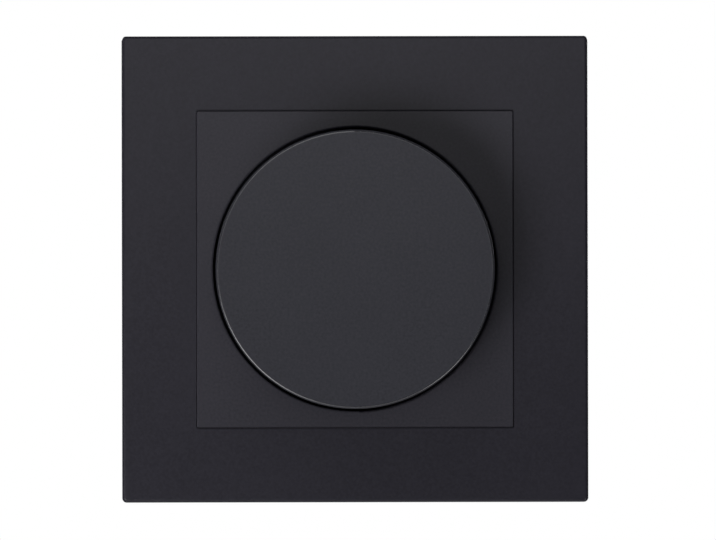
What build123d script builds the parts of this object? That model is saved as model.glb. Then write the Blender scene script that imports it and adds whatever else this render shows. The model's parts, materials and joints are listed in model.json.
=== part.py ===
"""Flush rotary push dimmer with cover frame, in millimetres.

Every piece is drawn with its third axis as the height above the wall, and is turned
on export so that the front looks along -Y and +Z is up.
"""

import os

from build123d import *

# Fits
RUNNING_CLEARANCE = 0.05
SEAT_CLEARANCE = 0.02
MOULDING_CLEARANCE = 0.15
HOLE_CLEARANCE = 0.2

# Cover frame
FRAME_BAND = 12.92
FRAME_CORNER_RADIUS = 0.8
FRAME_EDGE_RADIUS = 0.6
FRAME_WALL = 2.0
FRAME_FACE = 2.2
FRAME_RIM_DEPTH = 3.6
FRAME_RIM_WALL = 1.6
FRAME_RIB_THICKNESS = 1.2
FRAME_RIB_DEPTH = 3.2
FRAME_RIB_SPACING = 40.0

# Centre plate
PLATE_SIZE = 55.0
PLATE_GAP = 0.08
PLATE_CORNER_RADIUS = 0.4
PLATE_EDGE_RADIUS = 0.2
PLATE_WALL = 1.8
PLATE_FACE = 1.8
PLATE_PROUD = 0.2
PLATE_LAND = 2.9
PLATE_FLANGE_INSET = 0.2
PLATE_FLANGE_THICKNESS = 1.5
WELL_GAP = 0.7
WELL_DEPTH = 3.4
WELL_FLOOR = 2.0
WELL_WALL = 1.2
WELL_LIP_RADIUS = 0.4
TRIMMER_ACCESS_DIAMETER = 4.6

# Knob
KNOB_PROJECTION = 13.1
KNOB_REST_GAP = 0.7
KNOB_EDGE_RADIUS = 0.4
KNOB_WALL = 1.8
KNOB_FACE = 2.2
KNOB_RIB_COUNT = 6
KNOB_RIB_THICKNESS = 1.2
KNOB_RIB_DEPTH = 4.5
HUB_DIAMETER = 10.5
HUB_GAP = 0.6
HUB_END = 1.5
HUB_SLOT_WIDTH = 1.0
HUB_SLOT_DEPTH = 4.5
HUB_GROOVE_DEPTH = 0.6
HUB_GROOVE_INSET = 1.0
HUB_RING_WIDTH = 1.0
HUB_RING_THICKNESS = 1.1
HUB_RING_OPENING = 2.0

# Push movement
PUSH_TRAVEL = 1.0

# Bush, washer and nut
BUSH_DIAMETER = 10.0
BUSH_PROUD = 0.8
BUSH_FLANGE_DIAMETER = 15.0
BUSH_FLANGE_THICKNESS = 1.5
WASHER_DIAMETER = 16.0
WASHER_THICKNESS = 0.6
WASHER_TOOTH_COUNT = 8
WASHER_NOTCH_WIDTH = 1.6
WASHER_NOTCH_DEPTH = 1.4
NUT_ACROSS_FLATS = 14.0
NUT_THICKNESS = 2.5

# Shaft
SHAFT_DIAMETER = 6.0
SHAFT_FLAT_DEPTH = 1.5
SHAFT_TIP_CHAMFER = 0.4
SHAFT_TAIL = 0.6
CLIP_DIAMETER = 9.0
CLIP_THICKNESS = 0.6
CLIP_GROOVE_DEPTH = 0.5
CLIP_GAP = 0.4

# Rotary control
POT_DIAMETER = 22.0
POT_WALL = 1.5
POT_FACE = 1.2
POT_CLIP_ROOM = 0.6
POT_BASE_THICKNESS = 1.5
ROTOR_GAP = 0.3
ROTOR_RIM_GAP = 0.5
ROTOR_WEB = 2.0
WIPER_HEIGHT = 1.2
WIPER_SHEET = 0.3
WIPER_INSET = 1.4
WIPER_WIDTH = 3.0
WIPER_TIP_DIAMETER = 1.0
WIPER_TIP_SPACING = 1.4
TRACK_THICKNESS = 0.8
TRACK_HOLE_DIAMETER = 8.6
PIN_DIAMETER = 0.9
PIN_SPACING = 3.0
PIN_INSET = 1.3
PIN_COUNT = 3

# Push switch
SWITCH_SIZE = 13.0
SWITCH_CORNER_RADIUS = 0.8
SWITCH_FACE = 1.0
SWITCH_FLOOR = 0.8
SWITCH_BORE_DIAMETER = 9.4
PLUNGER_DIAMETER = 4.8
PLUNGER_PLAY = 0.15
PLUNGER_FLANGE_DIAMETER = 8.2
PLUNGER_FLANGE_THICKNESS = 1.0
BRIDGE_THICKNESS = 0.4
BRIDGE_WIDTH = 1.0
CONTACT_DIAMETER = 0.9
CONTACT_GAP = 0.1
DOME_HEIGHT = 4.2
DOME_TOP_DIAMETER = 3.6
DOME_FOOT_DIAMETER = 5.6
DOME_WALL = 0.5

# Support plate
SUPPORT_THICKNESS = 1.2
SUPPORT_MARGIN = 3.0
SUPPORT_CORNER_CUT = 7.0
SUPPORT_CORNER_RADIUS = 1.5
BOX_SCREW_SPACING = 60.0
BOX_SLOT_WIDTH = 4.2
BOX_SLOT_LENGTH = 8.0
TRIMMER_HOLE_DIAMETER = 6.0

# Housing
INSERT_DIAMETER = 53.0
INSERT_WIDTH = 47.0
INSERT_REAR_CHAMFER = 1.0
INSERT_SEAM_CHAMFER = 0.3
INSERT_WALL = 1.8
INSERT_FLOOR = 1.8
LID_THICKNESS = 2.0
LID_SPIGOT_DEPTH = 1.5
LID_SPIGOT_WALL = 1.2
BOSS_DIAMETER = 30.0
BOSS_HEIGHT = 4.5
BOSS_WALL = 2.0
BOSS_FACE = 2.0
COMPONENT_SPACE = 10.9
VENT_COUNT = 5
VENT_WIDTH = 1.4
VENT_LENGTH = 14.0
VENT_PITCH = 3.2
VENT_CENTER = 9.0

# Housing screws
SCREW_OFFSET = 16.8
SCREW_DIAMETER = 2.4
SCREW_LENGTH = 20.0
SCREW_HEAD_DIAMETER = 4.6
SCREW_HEAD_HEIGHT = 1.7
POST_DIAMETER = 6.0
POST_SHOULDER_DIAMETER = 8.4

# Circuit board
BOARD_THICKNESS = 1.6
BOARD_GAP = 0.4

# Terminals
TERMINAL_COUNT = 3
TERMINAL_PITCH = 7.0
TERMINAL_END_WALL = 0.6
TERMINAL_FRONT_WALL = 1.9
TERMINAL_BACK_WALL = 1.4
TERMINAL_RECESS = 4.0
TERMINAL_ENTRY_DIAMETER = 3.6
TERMINAL_ACCESS_DIAMETER = 4.4
TERMINAL_LEAD_IN = 0.5
CAGE_WIDTH = 5.4
CAGE_DEPTH = 6.6
CAGE_FLOOR = 2.6
CAGE_TAB_WIDTH = 3.0
CAGE_TAB_THICKNESS = 1.0
CAGE_TAB_LENGTH = 1.0
CAGE_EDGE_RADIUS = 0.5
WIRE_HOLE_DIAMETER = 3.2
CLAMP_SCREW_DIAMETER = 3.0
CLAMP_HEAD_DIAMETER = 3.8
CLAMP_HEAD_HEIGHT = 1.8
CLAMP_OPEN_GAP = 1.4
CLAMP_TIP_GAP = 0.2
CLAMP_SLOT_WIDTH = 0.8
CLAMP_SLOT_DEPTH = 0.9

# Adjuster for the lowest level
TRIMMER_WALL_GAP = 0.6
TRIMMER_SIZE = 6.6
TRIMMER_HEIGHT = 4.5
TRIMMER_STEM_DIAMETER = 4.0
TRIMMER_PIN_DIAMETER = 3.0
TRIMMER_PIN_DEPTH = 2.0
TRIMMER_INSET = 0.2
TRIMMER_SLOT_WIDTH = 0.8
TRIMMER_SLOT_DEPTH = 0.9

# Electronics
TRANSISTOR_SIZE = (6.6, 6.1, 2.3)
TRANSISTOR_TAB = (5.2, 1.3, 0.5)
TRANSISTOR_OFFSET = 15.5
CHIP_SIZE = (5.0, 4.0, 1.6)
CHIP_CENTER = (0.0, -15.5)
RECTIFIER_SIZE = (6.4, 8.0, 2.6)
RECTIFIER_CENTER = (4.6, -7.0)
FILM_SIZE = (17.0, 6.6, 9.2)
FILM_CENTER = (0.0, 15.0)
ELECTROLYTIC_DIAMETER = 8.0
ELECTROLYTIC_HEIGHT = 9.2
ELECTROLYTIC_CENTER = (14.0, 2.0)
CHOKE_DIAMETER = 11.0
CHOKE_HEIGHT = 8.6
CHOKE_FLANGE = 1.4
CHOKE_NECK_DIAMETER = 5.0
CHOKE_WINDING_DIAMETER = 10.0
CHOKE_CENTER = (-13.0, 2.0)
VARISTOR_DIAMETER = 8.6
VARISTOR_THICKNESS = 3.6
VARISTOR_CENTER = (0.0, 4.5)
VARISTOR_FOOT = 0.5

# Sizes that follow from those above
opening_size = PLATE_SIZE + 2 * PLATE_GAP
frame_size = opening_size + 2 * FRAME_BAND
frame_inner_size = frame_size - 2 * FRAME_WALL
rim_outer_size = opening_size + 2 * FRAME_RIM_WALL
flange_size = rim_outer_size - 2 * PLATE_FLANGE_INSET
support_size = frame_inner_size - 2 * SUPPORT_MARGIN
well_diameter = PLATE_SIZE - 2 * PLATE_LAND
knob_radius = well_diameter / 2 - WELL_GAP
hub_groove_diameter = HUB_DIAMETER - 2 * HUB_GROOVE_DEPTH
shaft_flat = SHAFT_DIAMETER / 2 - SHAFT_FLAT_DEPTH
bush_bore = SHAFT_DIAMETER + 2 * RUNNING_CLEARANCE
bush_hole = BUSH_DIAMETER + 2 * HOLE_CLEARANCE
pot_bore = POT_DIAMETER - 2 * POT_WALL
pot_clip_hole = CLIP_DIAMETER + 2 * POT_CLIP_ROOM
pin_offset = pot_bore / 2 - PIN_INSET
rotor_diameter = pot_bore - 2 * ROTOR_RIM_GAP
wiper_outer_diameter = rotor_diameter - 2 * WIPER_INSET
wiper_inner_diameter = wiper_outer_diameter - 2 * WIPER_WIDTH
bridge_radius = PLUNGER_FLANGE_DIAMETER / 2 - BRIDGE_WIDTH / 2
board_outline_offset = -INSERT_WALL - BOARD_GAP
trimmer_offset = INSERT_WIDTH / 2 - INSERT_WALL - TRIMMER_WALL_GAP - TRIMMER_SIZE / 2
terminal_width = TERMINAL_COUNT * TERMINAL_PITCH + 2 * TERMINAL_END_WALL
pocket_width = CAGE_WIDTH + 2 * MOULDING_CLEARANCE
pocket_depth = CAGE_DEPTH + 2 * MOULDING_CLEARANCE
terminal_depth = TERMINAL_FRONT_WALL + pocket_depth + TERMINAL_BACK_WALL

# Heights above the wall, from the support plate to the knob
support_front = SUPPORT_THICKNESS
boss_front = BOSS_HEIGHT
boss_inside = boss_front - BOSS_FACE
well_floor = boss_front + WELL_FLOOR
plate_front = well_floor + WELL_DEPTH
frame_front = plate_front - PLATE_PROUD
frame_face_rear = frame_front - FRAME_FACE
rim_rear = frame_front - FRAME_RIM_DEPTH
flange_rear = rim_rear - PLATE_FLANGE_THICKNESS
washer_front = well_floor + WASHER_THICKNESS
nut_front = washer_front + NUT_THICKNESS
bush_front = nut_front + BUSH_PROUD
hub_rear = bush_front + PUSH_TRAVEL + HUB_GAP
knob_rear = well_floor + PUSH_TRAVEL + KNOB_REST_GAP
knob_front = plate_front + KNOB_PROJECTION
knob_face_rear = knob_front - KNOB_FACE
shaft_front = knob_face_rear - HUB_END

# Heights from the bush back to the bottom of the housing
bush_rear = boss_inside - BUSH_FLANGE_THICKNESS
clip_rear = bush_rear - CLIP_THICKNESS
rotor_front = bush_rear - POT_FACE - ROTOR_GAP
rotor_seat = clip_rear - PUSH_TRAVEL - CLIP_GAP
rotor_rear = rotor_seat - ROTOR_WEB
track_front = rotor_rear - WIPER_HEIGHT
track_rear = track_front - TRACK_THICKNESS
shaft_rear = rotor_rear - SHAFT_TAIL
pot_rear = track_rear - POT_BASE_THICKNESS
switch_inside = pot_rear - SWITCH_FACE
plunger_flange_front = switch_inside - PLUNGER_PLAY
plunger_flange_rear = plunger_flange_front - PLUNGER_FLANGE_THICKNESS
bridge_rear = plunger_flange_rear - BRIDGE_THICKNESS
contact_front = bridge_rear - PUSH_TRAVEL - CONTACT_GAP
switch_floor = plunger_flange_rear - DOME_HEIGHT
board_front = switch_floor - SWITCH_FLOOR
board_rear = board_front - BOARD_THICKNESS
insert_inside = board_rear - COMPONENT_SPACE
insert_rear = insert_inside - INSERT_FLOOR
lid_rear = -LID_THICKNESS
cage_rear = insert_rear + TERMINAL_RECESS
cage_front = board_rear - CAGE_TAB_LENGTH
wire_height = cage_rear + CAGE_FLOOR + WIRE_HOLE_DIAMETER / 2
terminal_bottom = -INSERT_WIDTH / 2
cage_center = terminal_bottom + TERMINAL_FRONT_WALL + pocket_depth / 2

# Length that a cutting tool runs past the material
OVERCUT = 1.0

FROM_BELOW = (Align.CENTER, Align.CENTER, Align.MIN)
SCREW_PLACES = [(x * SCREW_OFFSET, y * SCREW_OFFSET) for x in (-1, 1) for y in (-1, 1)]
TERMINAL_PLACES = [
    (place - (TERMINAL_COUNT - 1) / 2) * TERMINAL_PITCH for place in range(TERMINAL_COUNT)
]


def disc(diameter, bottom, top, x=0.0, y=0.0):
    """Round bar standing between two heights."""
    return Pos(x, y, bottom) * Cylinder(diameter / 2, top - bottom, align=FROM_BELOW)


def block(width, depth, bottom, top, x=0.0, y=0.0, corner=0.0):
    """Square bar standing between two heights, with rounded upright edges if asked."""
    sketch = RectangleRounded(width, depth, corner) if corner else Rectangle(width, depth)
    return extrude(Pos(x, y, bottom) * sketch, top - bottom)


def d_bar(radius, flat, bottom, top):
    """Round bar with one flat, at a distance from the axis on the +y side."""
    section = Circle(radius) & Pos(0, (flat - radius) / 2) * Rectangle(2 * radius, flat + radius)
    return extrude(Pos(0, 0, bottom) * section, top - bottom)


def top_edges(piece):
    """Edges that lie wholly in a piece's highest plane."""
    return piece.faces().sort_by(Axis.Z)[-1].edges()


def bottom_edges(piece):
    """Edges that lie wholly in a piece's lowest plane."""
    return piece.faces().sort_by(Axis.Z)[0].edges()


def insert_outline(offset):
    """Outline of the housing: a circle with four flats, moved in or out by an offset."""
    width = INSERT_WIDTH + 2 * offset
    return Circle(INSERT_DIAMETER / 2 + offset) & Rectangle(width, width)


def insert_bar(offset, bottom, top):
    """The housing's outline as a bar between two heights."""
    return extrude(Pos(0, 0, bottom) * insert_outline(offset), top - bottom)


def insert_bar_chamfered(bottom, top, bottom_chamfer, top_chamfer):
    """The housing's outline as a bar whose lower and upper edges may be chamfered."""
    shapes = []
    for shape in (disc(INSERT_DIAMETER, bottom, top), block(INSERT_WIDTH, INSERT_WIDTH, bottom, top)):
        if bottom_chamfer:
            shape = chamfer(bottom_edges(shape), bottom_chamfer)
        if top_chamfer:
            shape = chamfer(top_edges(shape), top_chamfer)
        shapes.append(shape)
    return shapes[0] & shapes[1]


def cover_frame():
    """Hollow square frame, open at the back, with a rim around its opening and ribs."""
    frame = block(frame_size, frame_size, 0, frame_front, corner=FRAME_CORNER_RADIUS)
    frame = fillet(top_edges(frame), FRAME_EDGE_RADIUS)
    frame -= block(frame_inner_size, frame_inner_size, 0, frame_face_rear)
    corner = PLATE_CORNER_RADIUS + PLATE_GAP
    frame += block(rim_outer_size, rim_outer_size, rim_rear, frame_face_rear, corner=corner)
    rib_length = (frame_inner_size - rim_outer_size) / 2
    rib_bottom = frame_face_rear - FRAME_RIB_DEPTH
    rib = block(rib_length, FRAME_RIB_THICKNESS, rib_bottom, frame_face_rear)
    for quarter in range(4):
        for side in (-1, 1):
            place = Pos((rim_outer_size + rib_length) / 2, side * FRAME_RIB_SPACING / 2, 0)
            frame += Rot(0, 0, 90 * quarter) * place * rib
    opening_bottom = rim_rear - OVERCUT
    opening_top = frame_front + OVERCUT
    return frame - block(
        opening_size, opening_size, opening_bottom, opening_top, corner=corner
    )


def center_plate():
    """Square plate with the knob's round well and a flange that holds the frame."""
    plate = block(PLATE_SIZE, PLATE_SIZE, flange_rear, plate_front, corner=PLATE_CORNER_RADIUS)
    plate = fillet(top_edges(plate), PLATE_EDGE_RADIUS)
    plate += block(flange_size, flange_size, flange_rear, rim_rear, corner=PLATE_CORNER_RADIUS)
    well_outside = well_diameter + 2 * WELL_WALL
    hollow_size = PLATE_SIZE - 2 * PLATE_WALL
    hollow = block(hollow_size, hollow_size, flange_rear, plate_front - PLATE_FACE)
    plate -= hollow - disc(well_outside, flange_rear, plate_front)
    plate += disc(well_outside, boss_front, well_floor)
    plate -= disc(well_diameter, well_floor, plate_front)
    plate -= disc(bush_hole, boss_front - OVERCUT, well_floor)
    plate -= disc(TRIMMER_ACCESS_DIAMETER, boss_front - OVERCUT, well_floor, y=trimmer_offset)
    lip = top_edges(plate).filter_by(GeomType.CIRCLE).sort_by(SortBy.RADIUS)[-1]
    return fillet(lip, WELL_LIP_RADIUS)


def knob():
    """Hollow round knob with a slotted hub that takes the shaft's flat end."""
    body = disc(2 * knob_radius, knob_rear, knob_front)
    body = fillet(top_edges(body), KNOB_EDGE_RADIUS)
    body -= disc(2 * (knob_radius - KNOB_WALL), knob_rear, knob_face_rear)
    rib_bottom = knob_face_rear - KNOB_RIB_DEPTH
    rib_reach = knob_radius - KNOB_WALL / 2
    rib = block(rib_reach, KNOB_RIB_THICKNESS, rib_bottom, knob_face_rear, x=rib_reach / 2)
    for index in range(KNOB_RIB_COUNT):
        body += Rot(0, 0, (index + 0.5) * 360 / KNOB_RIB_COUNT) * rib
    hub = disc(HUB_DIAMETER, hub_rear, knob_face_rear)
    groove_rear = hub_rear + HUB_GROOVE_INSET
    groove_front = groove_rear + HUB_RING_WIDTH
    hub -= disc(HUB_DIAMETER, groove_rear, groove_front) - disc(
        hub_groove_diameter, groove_rear, groove_front
    )
    body += hub
    bore_radius = SHAFT_DIAMETER / 2 + SEAT_CLEARANCE
    body -= d_bar(bore_radius, shaft_flat + SEAT_CLEARANCE, hub_rear, shaft_front)
    slot_top = hub_rear + HUB_SLOT_DEPTH
    return body - block(HUB_DIAMETER, HUB_SLOT_WIDTH, hub_rear, slot_top)


def hub_ring():
    """Split spring ring in the groove around the knob's hub."""
    rear = hub_rear + HUB_GROOVE_INSET
    front = rear + HUB_RING_WIDTH
    inside = hub_groove_diameter + 2 * SEAT_CLEARANCE
    outside = inside + 2 * HUB_RING_THICKNESS
    ring = disc(outside, rear, front) - disc(inside, rear, front)
    return ring - block(HUB_RING_OPENING, outside, rear, front, y=-outside / 2)


def lock_washer():
    """Flat washer with teeth around its hole."""
    washer = disc(WASHER_DIAMETER, well_floor, washer_front)
    washer -= disc(bush_hole, well_floor, washer_front)
    reach = bush_hole / 2 + WASHER_NOTCH_DEPTH
    notch = block(reach, WASHER_NOTCH_WIDTH, well_floor, washer_front, x=reach / 2)
    for index in range(WASHER_TOOTH_COUNT):
        washer -= Rot(0, 0, index * 360 / WASHER_TOOTH_COUNT) * notch
    return washer


def fixing_nut():
    """Hexagon nut on the bush."""
    hexagon = RegularPolygon(NUT_ACROSS_FLATS / 2, 6, major_radius=False)
    nut = extrude(Pos(0, 0, washer_front) * hexagon, NUT_THICKNESS)
    return nut - disc(BUSH_DIAMETER + 2 * SEAT_CLEARANCE, washer_front, nut_front)


def threaded_bush():
    """Bush that guides the shaft, with a flange behind the housing's boss."""
    bush = disc(BUSH_FLANGE_DIAMETER, bush_rear, boss_inside)
    bush += disc(BUSH_DIAMETER, boss_inside, bush_front)
    return bush - disc(bush_bore, bush_rear, bush_front)


def shaft():
    """Round shaft with a flat at the front for the knob and one behind for the rotor."""
    rod = disc(SHAFT_DIAMETER, shaft_rear, shaft_front)
    rod = chamfer(top_edges(rod), SHAFT_TIP_CHAMFER)
    flat_middle = (shaft_flat + SHAFT_DIAMETER) / 2
    flat_width = SHAFT_DIAMETER - shaft_flat
    rod -= block(SHAFT_DIAMETER, flat_width, hub_rear, shaft_front, y=flat_middle)
    rod -= block(SHAFT_DIAMETER, flat_width, shaft_rear, clip_rear - CLIP_GAP, y=flat_middle)
    groove = SHAFT_DIAMETER - 2 * CLIP_GROOVE_DEPTH
    return rod - (disc(SHAFT_DIAMETER, clip_rear, bush_rear) - disc(groove, clip_rear, bush_rear))


def shaft_circlip():
    """Open clip in the shaft's groove, resting on the back of the bush."""
    groove = SHAFT_DIAMETER - 2 * CLIP_GROOVE_DEPTH
    clip = disc(CLIP_DIAMETER, clip_rear, bush_rear) - disc(groove, clip_rear, bush_rear)
    opening = groove - 2 * CLIP_GROOVE_DEPTH
    return clip - block(opening, CLIP_DIAMETER, clip_rear, bush_rear, y=-CLIP_DIAMETER / 2)


def pot_housing():
    """Round can of the rotary control, open at the back."""
    can = disc(POT_DIAMETER, pot_rear, bush_rear)
    can -= disc(pot_bore, pot_rear, bush_rear - POT_FACE)
    return can - disc(pot_clip_hole, pot_rear, bush_rear)


def wiper_rotor():
    """Rotor that the shaft's rear flat turns, recessed for the clip."""
    rotor = disc(rotor_diameter, rotor_rear, rotor_front)
    rotor -= disc(pot_clip_hole, rotor_seat, rotor_front)
    bore_radius = SHAFT_DIAMETER / 2 + RUNNING_CLEARANCE
    return rotor - d_bar(bore_radius, shaft_flat + RUNNING_CLEARANCE, rotor_rear, rotor_seat)


def wiper_contacts():
    """Quarter ring of sheet on the rotor with two tips that reach the track."""
    sheet_rear = rotor_rear - WIPER_SHEET
    sheet = disc(wiper_outer_diameter, sheet_rear, rotor_rear)
    sheet -= disc(wiper_inner_diameter, sheet_rear, rotor_rear)
    reach = wiper_outer_diameter / 2
    sheet &= block(reach, reach, sheet_rear, rotor_rear, x=reach / 2, y=reach / 2)
    middle = (wiper_inner_diameter + wiper_outer_diameter) / 4
    tip_rear = track_front + RUNNING_CLEARANCE
    for side in (-1, 1):
        place = Rot(0, 0, 45) * Pos(middle + side * WIPER_TIP_SPACING / 2, 0, 0)
        sheet += place * disc(WIPER_TIP_DIAMETER, tip_rear, sheet_rear)
    return sheet


def resistor_track():
    """Flat ring that carries the resistance track."""
    track = disc(pot_bore - 2 * SEAT_CLEARANCE, track_rear, track_front)
    return track - disc(TRACK_HOLE_DIAMETER, track_rear, track_front)


def pot_base():
    """Base that closes the rotary control, with a hole for the plunger."""
    base = disc(pot_bore - 2 * SEAT_CLEARANCE, pot_rear, track_rear)
    return base - disc(PLUNGER_DIAMETER + 2 * HOLE_CLEARANCE, pot_rear, track_rear)


def pot_pins():
    """Straight pins from the rotary control to the board."""
    places = [(index - (PIN_COUNT - 1) / 2) * PIN_SPACING for index in range(PIN_COUNT)]
    return Compound([disc(PIN_DIAMETER, board_front, pot_rear, x, -pin_offset) for x in places])


def push_switch_housing():
    """Square box of the push switch with a round bore."""
    box = block(SWITCH_SIZE, SWITCH_SIZE, board_front, pot_rear, corner=SWITCH_CORNER_RADIUS)
    box -= disc(SWITCH_BORE_DIAMETER, switch_floor, switch_inside)
    return box - disc(PLUNGER_DIAMETER + 2 * RUNNING_CLEARANCE, switch_floor, pot_rear)


def switch_plunger():
    """Plunger that the shaft pushes, with a flange above the dome."""
    plunger = disc(PLUNGER_FLANGE_DIAMETER, plunger_flange_rear, plunger_flange_front)
    return plunger + disc(PLUNGER_DIAMETER, plunger_flange_front, shaft_rear)


def contact_bridge():
    """Contact ring under the plunger's flange."""
    outside = PLUNGER_FLANGE_DIAMETER
    ring = disc(outside, bridge_rear, plunger_flange_rear)
    return ring - disc(outside - 2 * BRIDGE_WIDTH, bridge_rear, plunger_flange_rear)


def switch_contacts():
    """Two fixed contact posts on the floor of the push switch."""
    return Compound(
        [disc(CONTACT_DIAMETER, switch_floor, contact_front, side * bridge_radius) for side in (-1, 1)]
    )


def return_dome():
    """Elastic dome that pushes the plunger back, standing on the switch's floor."""
    foot = DOME_FOOT_DIAMETER / 2
    top = DOME_TOP_DIAMETER / 2
    inner_height = DOME_HEIGHT - DOME_WALL
    dome = Cone(foot, top, DOME_HEIGHT, align=FROM_BELOW)
    dome -= Cone(foot - DOME_WALL, top - DOME_WALL, inner_height, align=FROM_BELOW)
    return Pos(0, 0, switch_floor) * dome


def support_plate():
    """Steel plate on the wall with slots for the box screws."""
    sheet = Rectangle(support_size, support_size)
    sheet = chamfer(sheet.vertices(), SUPPORT_CORNER_CUT)
    sheet = fillet(sheet.vertices(), SUPPORT_CORNER_RADIUS)
    plate = extrude(sheet, support_front)
    plate -= disc(BOSS_DIAMETER + 2 * HOLE_CLEARANCE, 0, support_front)
    slot = extrude(SlotOverall(BOX_SLOT_LENGTH, BOX_SLOT_WIDTH), support_front)
    for quarter in range(4):
        plate -= Rot(0, 0, 90 * quarter) * Pos(BOX_SCREW_SPACING / 2, 0, 0) * slot
    for x, y in SCREW_PLACES:
        plate -= disc(SCREW_DIAMETER + 2 * HOLE_CLEARANCE, 0, support_front, x, y)
    return plate - disc(TRIMMER_HOLE_DIAMETER, 0, support_front, y=trimmer_offset)


def front_housing():
    """Lid of the housing with the hollow boss that passes through the support plate."""
    lid = insert_bar_chamfered(lid_rear, 0, INSERT_SEAM_CHAMFER, 0)
    spigot_rear = lid_rear - LID_SPIGOT_DEPTH
    spigot_offset = -INSERT_WALL - MOULDING_CLEARANCE
    spigot = insert_bar(spigot_offset, spigot_rear, lid_rear)
    spigot -= insert_bar(spigot_offset - LID_SPIGOT_WALL, spigot_rear, lid_rear)
    for x, y in SCREW_PLACES:
        spigot -= disc(POST_DIAMETER + 2 * HOLE_CLEARANCE, spigot_rear, lid_rear, x, y)
    lid += spigot
    lid += disc(BOSS_DIAMETER, 0, boss_front)
    lid -= disc(BOSS_DIAMETER - 2 * BOSS_WALL, lid_rear, boss_inside)
    lid -= disc(bush_hole, boss_inside, boss_front)
    for x, y in SCREW_PLACES:
        lid -= disc(SCREW_DIAMETER + 2 * HOLE_CLEARANCE, lid_rear, 0, x, y)
    stem_hole = TRIMMER_STEM_DIAMETER + 2 * RUNNING_CLEARANCE
    return lid - disc(stem_hole, lid_rear, boss_front, y=trimmer_offset)


def rear_housing():
    """Cup of the housing with vents, and screw posts whose shoulders carry the board."""
    outside = insert_bar_chamfered(insert_rear, lid_rear, INSERT_REAR_CHAMFER, INSERT_SEAM_CHAMFER)
    cup = outside - insert_bar(-INSERT_WALL, insert_inside, lid_rear)
    for x, y in SCREW_PLACES:
        post = disc(POST_DIAMETER, insert_inside, lid_rear, x, y)
        post += disc(POST_SHOULDER_DIAMETER, insert_inside, board_rear, x, y)
        cup += post & outside
        pilot = SCREW_DIAMETER + 2 * SEAT_CLEARANCE
        cup -= disc(pilot, support_front - SCREW_LENGTH, lid_rear, x, y)
    vent = extrude(Pos(0, 0, insert_rear) * SlotOverall(VENT_LENGTH, VENT_WIDTH), INSERT_FLOOR)
    for index in range(VENT_COUNT):
        cup -= Pos(0, VENT_CENTER + (index - (VENT_COUNT - 1) / 2) * VENT_PITCH, 0) * vent
    notch_width = terminal_width + 2 * MOULDING_CLEARANCE
    notch_depth = terminal_depth + MOULDING_CLEARANCE
    notch_middle = terminal_bottom + notch_depth / 2
    notch_front = board_rear + MOULDING_CLEARANCE
    return cup - block(notch_width, notch_depth, insert_rear, notch_front, y=notch_middle)


def housing_screws():
    """Four screws that hold the support plate and both halves of the housing together."""
    screw = disc(SCREW_HEAD_DIAMETER, support_front, support_front + SCREW_HEAD_HEIGHT)
    screw += disc(SCREW_DIAMETER, support_front - SCREW_LENGTH, support_front)
    return Compound([Pos(x, y, 0) * screw for x, y in SCREW_PLACES])


def circuit_board():
    """Board with corners cut out around the screw posts."""
    board = insert_bar(board_outline_offset, board_rear, board_front)
    for x, y in SCREW_PLACES:
        board -= disc(POST_DIAMETER + 2 * BOARD_GAP, board_rear, board_front, x, y)
    return board


def terminal_block():
    """Block with a pocket, a wire hole and a screw hole for each terminal, widened at their mouths."""
    middle = terminal_bottom + terminal_depth / 2
    body = block(terminal_width, terminal_depth, insert_rear, board_rear, y=middle)
    entry = Rot(90, 0, 0) * disc(TERMINAL_ENTRY_DIAMETER, 0, terminal_depth)
    for x in TERMINAL_PLACES:
        body -= block(pocket_width, pocket_depth, cage_rear, board_rear, x, cage_center)
        body -= disc(TERMINAL_ACCESS_DIAMETER, insert_rear, cage_rear, x, cage_center)
        body -= Pos(x, cage_center, wire_height) * entry
    mouths = body.faces().sort_by(Axis.Y)[0].edges() + body.faces().sort_by(Axis.Z)[0].edges()
    return chamfer(mouths.filter_by(GeomType.CIRCLE), TERMINAL_LEAD_IN)


def terminal_cages():
    """Clamp cage of each terminal with its tab to the board."""
    cage = block(CAGE_WIDTH, CAGE_DEPTH, cage_rear, cage_front, corner=CAGE_EDGE_RADIUS)
    cage += block(CAGE_TAB_WIDTH, CAGE_TAB_THICKNESS, cage_front, board_rear)
    wire_hole = disc(WIRE_HOLE_DIAMETER, -CAGE_DEPTH / 2, CAGE_DEPTH / 2)
    cage -= Pos(0, 0, wire_height) * Rot(90, 0, 0) * wire_hole
    thread = CLAMP_SCREW_DIAMETER + 2 * SEAT_CLEARANCE
    cage -= disc(thread, cage_rear, wire_height)
    return Compound([Pos(x, cage_center, 0) * cage for x in TERMINAL_PLACES])


def terminal_screws():
    """Clamp screw of each terminal, backed off so that a wire can enter."""
    head_front = cage_rear - CLAMP_OPEN_GAP
    head_rear = head_front - CLAMP_HEAD_HEIGHT
    tip = cage_rear + CAGE_FLOOR - CLAMP_TIP_GAP
    screw = disc(CLAMP_HEAD_DIAMETER, head_rear, head_front)
    screw += disc(CLAMP_SCREW_DIAMETER, head_front, tip)
    slot_top = head_rear + CLAMP_SLOT_DEPTH
    screw -= block(CLAMP_HEAD_DIAMETER, CLAMP_SLOT_WIDTH, head_rear, slot_top)
    return Compound([Pos(x, cage_center, 0) * screw for x in TERMINAL_PLACES])


def trimmer_body():
    """Square base of the adjuster on the board."""
    top = board_front + TRIMMER_HEIGHT
    body = block(TRIMMER_SIZE, TRIMMER_SIZE, board_front, top, y=trimmer_offset)
    hole = TRIMMER_PIN_DIAMETER + 2 * RUNNING_CLEARANCE
    return body - disc(hole, top - TRIMMER_PIN_DEPTH, top, y=trimmer_offset)


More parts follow.
